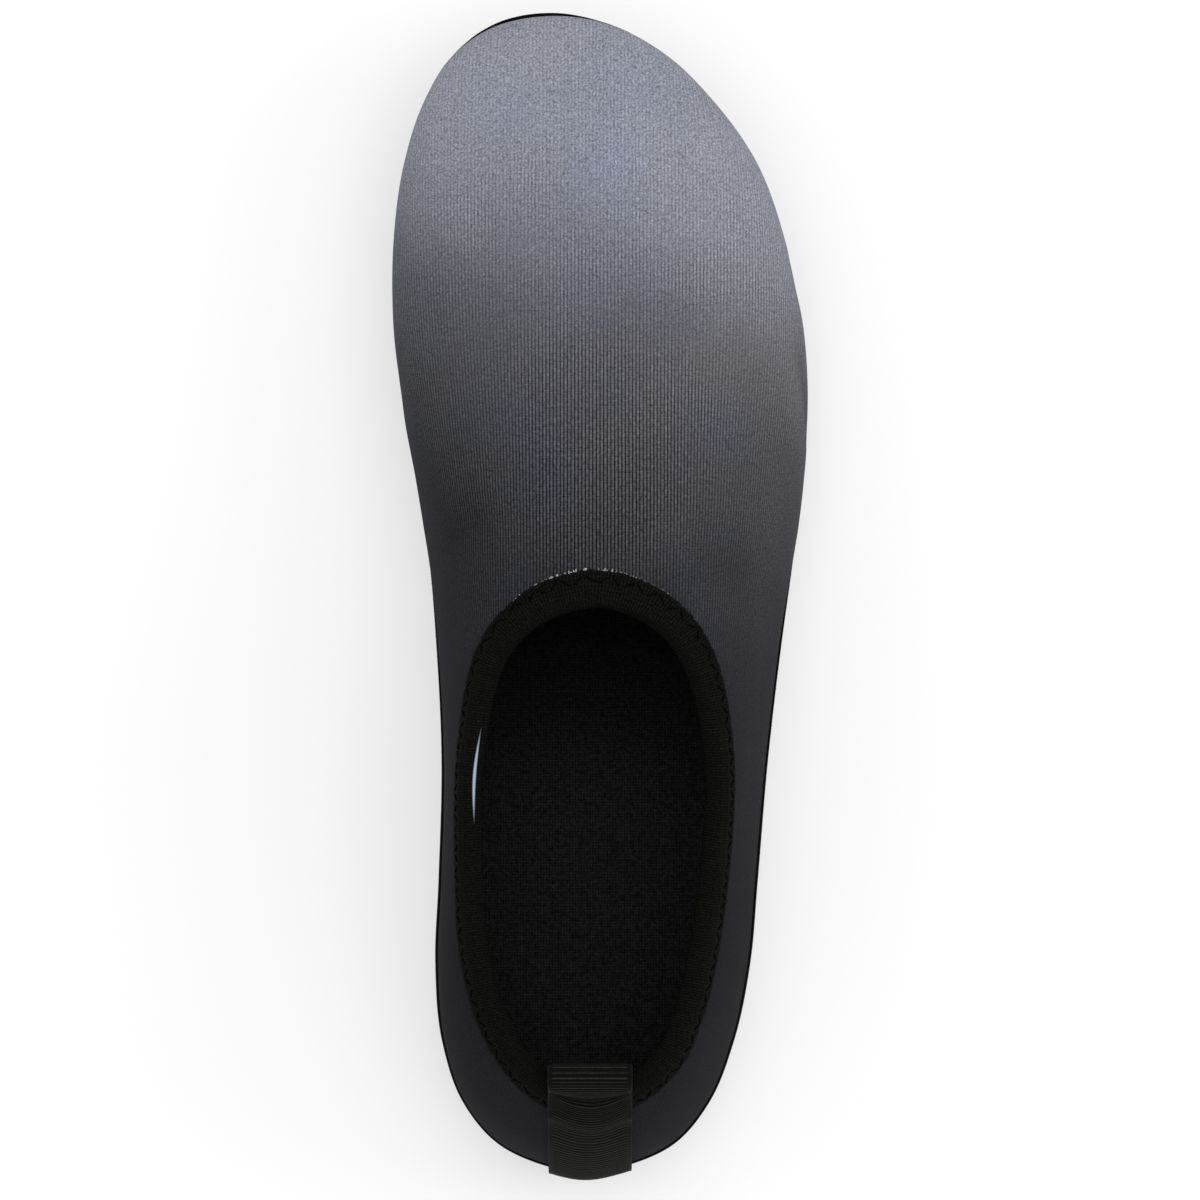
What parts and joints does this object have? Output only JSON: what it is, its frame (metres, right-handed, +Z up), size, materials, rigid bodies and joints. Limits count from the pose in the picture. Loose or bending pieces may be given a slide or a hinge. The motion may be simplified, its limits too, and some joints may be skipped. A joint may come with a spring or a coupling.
{
  "type": "water shoe",
  "caption": "Low slip-on water shoe: stretch knit sock upper with a bound collar and webbing heel pull, on a thin cupped rubber sole with toe spring and ridged tread.",
  "frame": {"origin": "on the floor under the middle of the shoe's length and width, with the shoe standing on its sole", "axes": "+Y to the toe along the shoe's length, +X to the wearer's right, which is the outer side of this right foot's shoe, +Z up"},
  "size_m": [0.0932, 0.26, 0.0851],
  "materials": {
    "stretch_knit": "fine ribbed stretch knit, matt",
    "binding_knit": "matt knit tape",
    "webbing": "cross-ribbed webbing, soft sheen",
    "seam_felt": "fuzzy felt",
    "outsole_rubber": "matt moulded rubber",
    "insole_cloth": "fine mesh over foam"
  },
  "bodies": {
    "root": {"upper": "stretch_knit", "collar_binding": "binding_knit", "heel_pull": "webbing", "seam_band": "seam_felt", "outsole": "outsole_rubber", "insole": "insole_cloth"}
  },
  "joints": []
}
